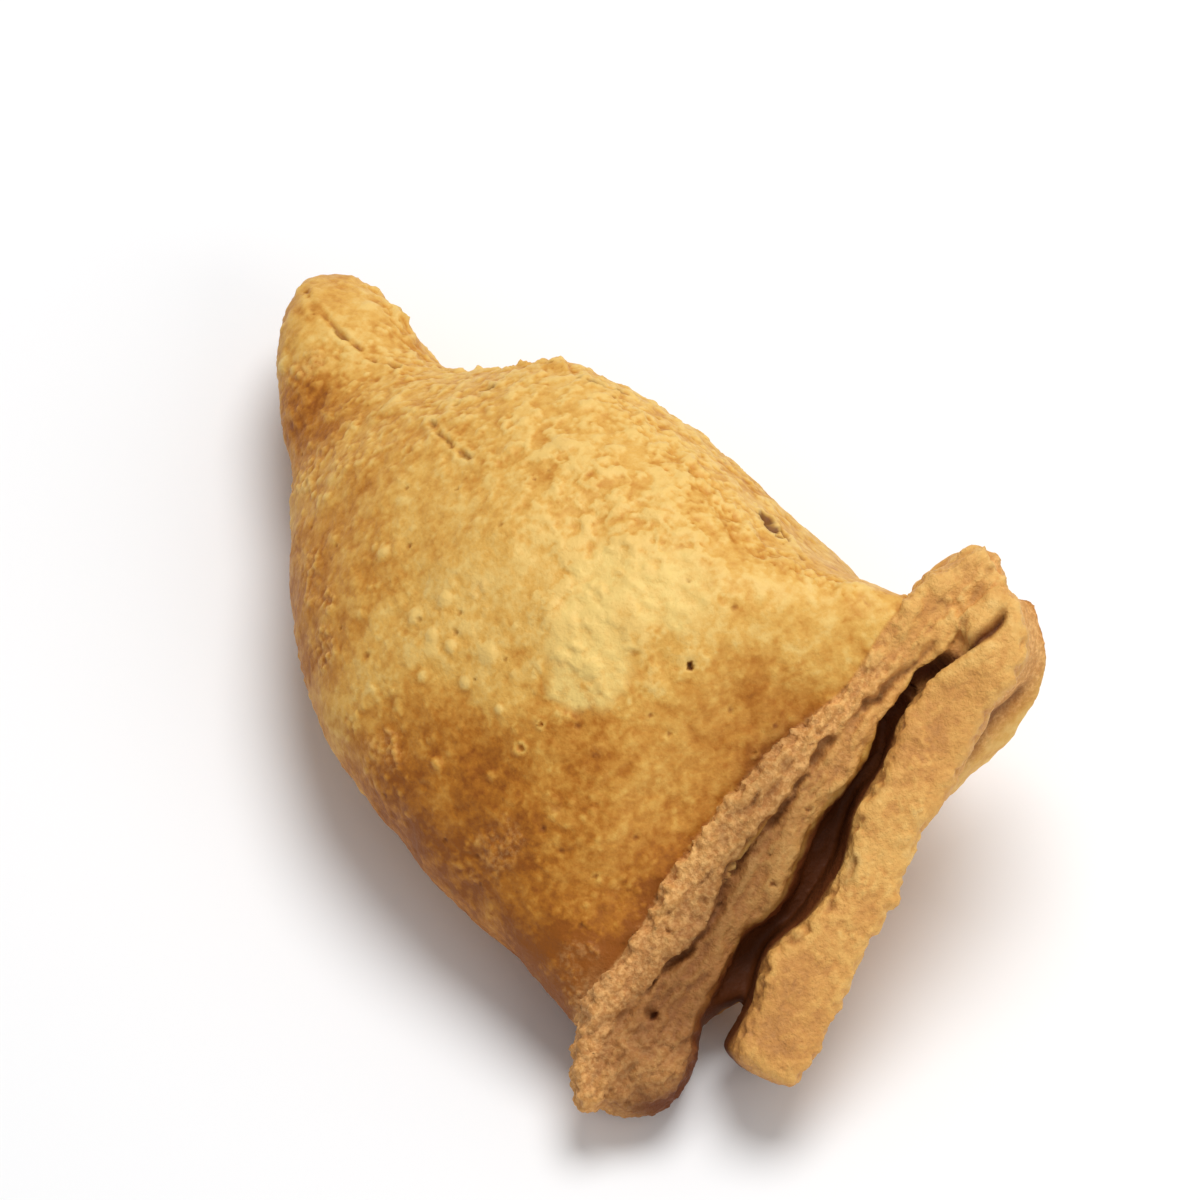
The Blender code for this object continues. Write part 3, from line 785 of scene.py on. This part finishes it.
storeField(skin, "tone", browningAndShadeTone(shaped, places, normals, masks))
# the hollows, which the finish darkens: painted shade
storeField(skin, "hollowShade", 0.5 + 0.5 * np.clip(hollowness(shaped, normals, edges), -1, 1))
# the groove and slit fields carry painted shade
for name in ("blister", "flake", "torn", "grain", "crumbly", "grooveShade", "paintedSlitShade"):
    storeField(skin, name, masks[name])
# a painted highlight on the upper face, broken up by noise
highlightPatch = marked(shaped, highlightPlaces, bowl) + 0.5 * layeredNoise(shaped, 2.2 * mm, 95)
storeField(skin, "paintedHighlight", smoothStep(0.2, 0.7, highlightPatch))


# Fewer faces where the skin is smooth, so that the piece stays light enough to keep whole
def thinned(mesh, triangles):
    draft = bpy.data.objects.new("thinning", mesh)
    bpy.context.scene.collection.objects.link(draft)
    fewer = draft.modifiers.new("fewer", "DECIMATE")
    fewer.ratio = min(1.0, triangles / (2 * len(mesh.polygons)))
    bpy.context.view_layer.update()
    made = bpy.data.meshes.new_from_object(draft.evaluated_get(bpy.context.evaluated_depsgraph_get()))
    bpy.data.objects.remove(draft)
    made.name = mesh.name
    return made


skin = thinned(skin, form["triangles"])
skin.calc_loop_triangles()
print("skin thinned:", len(skin.loop_triangles), "triangles")


# A shader node whose inputs are each set to a value or linked to another node's output
def addNode(tree, kind, inputs=None, **settings):
    made = tree.nodes.new("ShaderNode" + kind)
    for name, value in settings.items():
        setattr(made, name, value)
    for name, value in (inputs or {}).items():
        if isinstance(value, bpy.types.NodeSocket):
            tree.links.new(value, made.inputs[name])
        else:
            made.inputs[name].default_value = value
    return made


# A value stored with the mesh
def field(tree, name):
    return addNode(tree, "Attribute", attribute_name=name).outputs["Fac"]


# first x second + third, one of the two inputs of any other operation
def maths(tree, operation, *values):
    return addNode(tree, "Math", dict(enumerate(values)), operation=operation).outputs[0]


# Colour noise of a given size, from 0 to 1 round 0.5
def speckle(tree, place, size, detail=2.0):
    inputs = {"Vector": place, "Scale": 1 / size, "Detail": detail, "Roughness": 0.6}
    return addNode(tree, "TexNoise", inputs).outputs["Fac"]


# The first colour where the share is nought, the second where it is one
def colourMix(tree, share, first, second):
    first, second = (value if isinstance(value, bpy.types.NodeSocket) else (*value, 1)
                     for value in (first, second))
    return addNode(tree, "Mix", {0: share, 6: first, 7: second}, data_type="RGBA").outputs[2]


# The finish: the crust's colours from pale to brown, the noises that mottle it, as (size, detail, how much
# browner), how much browner each stored field makes it, with painted shade in hollows and a painted highlight
# on crumb tips, and the colours of torn dough, the painted shade in cracks and pits, the painted highlight
# and the slit's painted shade
crustLook = {
    "ramp": ((0.00, (0.80, 0.52, 0.155)), (0.25, (0.72, 0.40, 0.085)), (0.50, (0.59, 0.265, 0.040)),
             (0.75, (0.44, 0.155, 0.013)), (1.00, (0.28, 0.080, 0.005))),
    "mottles": {"broad": (9 * mm, 2.0, 0.50), "middling": (2.6 * mm, 4.0, 0.85),
                "small": (1.1 * mm, 3.0, 0.55), "fine": (0.6 * mm, 3.0, 0.35)},
    "browningAndPaintedLight": {"hollowShade": 0.40, "blister": -0.20, "flake": -0.10, "grain": -0.12},
    # hollows darker: painted shade; crumb tips paler: painted highlight
    "paler": 1.20,                       # taken off again, as each noise adds half its weight
    # the colour of the painted highlight on the upper face
    "highlightColour": (0.82, 0.57, 0.180),
    "crumb": (0.92, 0.52, 0.195), "crumbDark": (0.43, 0.150, 0.028), "crumbShare": 0.60,
    "tornShare": 0.28,                   # how far torn dough goes over to the crumb's colour
    # painted shade in cracks, holes and nicks
    "recessShade": (0.15, 0.048, 0.012), "recessShadeShare": 0.88,
    # painted shade deep in the slit
    "paintedSlitShade": (0.15, 0.040, 0.009),
    "speckSize": 0.45 * mm,
    "roughness": 0.38, "roughnessSpread": 0.30, "crumbRoughness": 0.12,
    "ior": 1.45, "specular": 0.28,
    "grainSize": 0.32 * mm, "bumpHeight": 0.10 * mm, "bumpStrength": 0.6,
}


# The fried crust: mottled browning, with crumbs, torn dough, the painted shade of pits and cracks, the
# painted highlight and the slit's painted shade laid over it
def crustMaterial():
    look = crustLook
    material = bpy.data.materials.new("friedCrust")
    material.use_nodes = True
    tree = material.node_tree
    shader = tree.nodes["Principled BSDF"]
    place = addNode(tree, "TexCoord").outputs["Object"]
    tone = maths(tree, "SUBTRACT", field(tree, "tone"), look["paler"])
    mottles = {}
    for name, (size, detail, weight) in look["mottles"].items():
        mottles[name] = speckle(tree, place, size, detail)
        tone = maths(tree, "MULTIPLY_ADD", mottles[name], weight, tone)
    for name, weight in look["browningAndPaintedLight"].items():
        tone = maths(tree, "MULTIPLY_ADD", field(tree, name), weight, tone)
    ramp = addNode(tree, "ValToRGB", {"Fac": tone})
    stops = ramp.color_ramp.elements
    for position, colour in look["ramp"][1:-1]:
        stops.new(position).color = (*colour, 1)
    stops[0].color = (*look["ramp"][0][1], 1)
    stops[-1].color = (*look["ramp"][-1][1], 1)

    # the painted highlight on the upper face, flecked by the small mottling
    flecked = maths(tree, "MULTIPLY_ADD", mottles["small"], 3.0, -0.75)
    paintedHighlight = maths(tree, "MULTIPLY", field(tree, "paintedHighlight"), flecked)
    colour = colourMix(tree, paintedHighlight, ramp.outputs["Color"], look["highlightColour"])
    # crumb tips lean to the paler colour: a painted highlight
    specks = maths(tree, "MULTIPLY_ADD", speckle(tree, place, look["speckSize"], 3.0), 5.0, -2.25)
    specks = maths(tree, "MULTIPLY_ADD", field(tree, "grain"), 0.45, specks)
    crumbColour = colourMix(tree, specks, look["crumbDark"], look["crumb"])
    # the groove and slit colours are painted shade
    for name, share, cover in (("crumbly", look["crumbShare"], crumbColour),
                               ("torn", look["tornShare"], look["crumb"]),
                               ("grooveShade", look["recessShadeShare"], look["recessShade"]),
                               ("paintedSlitShade", 1.0, look["paintedSlitShade"])):
        colour = colourMix(tree, maths(tree, "MULTIPLY", field(tree, name), share), colour, cover)
    tree.links.new(colour, shader.inputs["Base Color"])

    spread = look["roughnessSpread"]
    roughness = maths(tree, "MULTIPLY_ADD", mottles["middling"], spread, look["roughness"])
    roughness = maths(tree, "MULTIPLY_ADD", field(tree, "crumbly"), look["crumbRoughness"], roughness)
    tree.links.new(roughness, shader.inputs["Roughness"])
    shader.inputs["IOR"].default_value = look["ior"]
    shader.inputs["Specular IOR Level"].default_value = look["specular"]
    shader.inputs["Metallic"].default_value = 0.0

    grain = maths(tree, "MULTIPLY_ADD", mottles["fine"], 1.2, speckle(tree, place, look["grainSize"], 3.0))
    grain = maths(tree, "MULTIPLY", grain, maths(tree, "MULTIPLY_ADD", field(tree, "torn"), 1.8, 1.1))
    bump = addNode(tree, "Bump", {"Height": grain, "Strength": look["bumpStrength"],
                                  "Distance": look["bumpHeight"]})
    tree.links.new(bump.outputs["Normal"], shader.inputs["Normal"])
    return material


crust = bpy.data.objects.new("crust", skin)
bpy.context.scene.collection.objects.link(crust)
skin.materials.clear()
skin.materials.append(crustMaterial())
skin.shade_smooth()
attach(crust, "root")
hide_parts("samosa")
print("crust finished")

studio = {
    "viewAzimuth": -36, "viewElevation": 58,     # degrees
    "distance": 2.0, "frameWidth": 0.106,        # metres from the pastry, and of view across it
    "floor": (0.90, 0.90, 0.905), "floorSize": 6,
    "world": 0.38,
    "keyLight": {"ahead": 0.22, "above": 0.68, "right": 0.10, "size": 0.45, "power": 4.15},
    "fillLight": {"ahead": -0.50, "above": 0.35, "right": 0.45, "size": 0.6, "power": 1.5},
}


# The pale floor, a part of the stage
def plainFloor():
    bpy.ops.mesh.primitive_plane_add(size=studio["floorSize"])
    floor = bpy.context.object
    floor.name = "floor"
    material = bpy.data.materials.new("paleFloor")
    material.use_nodes = True
    shader = material.node_tree.nodes["Principled BSDF"]
    shader.inputs["Base Color"].default_value = (*studio["floor"], 1)
    shader.inputs["Roughness"].default_value = 0.9
    floor.data.materials.append(material)


# A round soft light beside the pastry, turned towards it
def softLight(name):
    values = studio[name]
    lamp = bpy.data.lights.new(name, "AREA")
    lamp.shape = "DISK"
    lamp.size = values["size"]
    lamp.energy = values["power"]
    light = bpy.data.objects.new(name, lamp)
    light.location = target + ahead * values["ahead"] + above * values["above"] + right * values["right"]
    light.rotation_euler = (target - light.location).to_track_quat("-Z", "Y").to_euler()
    bpy.context.scene.collection.objects.link(light)


azimuth, elevation = np.radians([studio["viewAzimuth"], studio["viewElevation"]])
right = Vector((np.cos(azimuth), np.sin(azimuth), 0))
ahead = Vector((-np.sin(azimuth), np.cos(azimuth), 0))
above = Vector((0, 0, 1))
target = Vector(boxMiddle)
back = above * np.sin(elevation) - ahead * np.cos(elevation)
camera = bpy.data.cameras.new("camera")
camera.sensor_width = 36
camera.lens = camera.sensor_width * studio["distance"] / studio["frameWidth"]
camera.clip_start, camera.clip_end = 0.01, 10
viewer = bpy.data.objects.new("camera", camera)
viewer.location = target + back * studio["distance"]
viewer.rotation_euler = (-back).to_track_quat("-Z", "Y").to_euler()
bpy.context.scene.collection.objects.link(viewer)
bpy.context.scene.camera = viewer

plainFloor()
softLight("keyLight")
softLight("fillLight")
world = bpy.data.worlds.new("studio")
world.use_nodes = True
world.node_tree.nodes["Background"].inputs["Color"].default_value = (1, 1, 1, 1)
world.node_tree.nodes["Background"].inputs["Strength"].default_value = studio["world"]
bpy.context.scene.world = world
bpy.context.scene.view_settings.view_transform = "Standard"

print("camera and lights set")
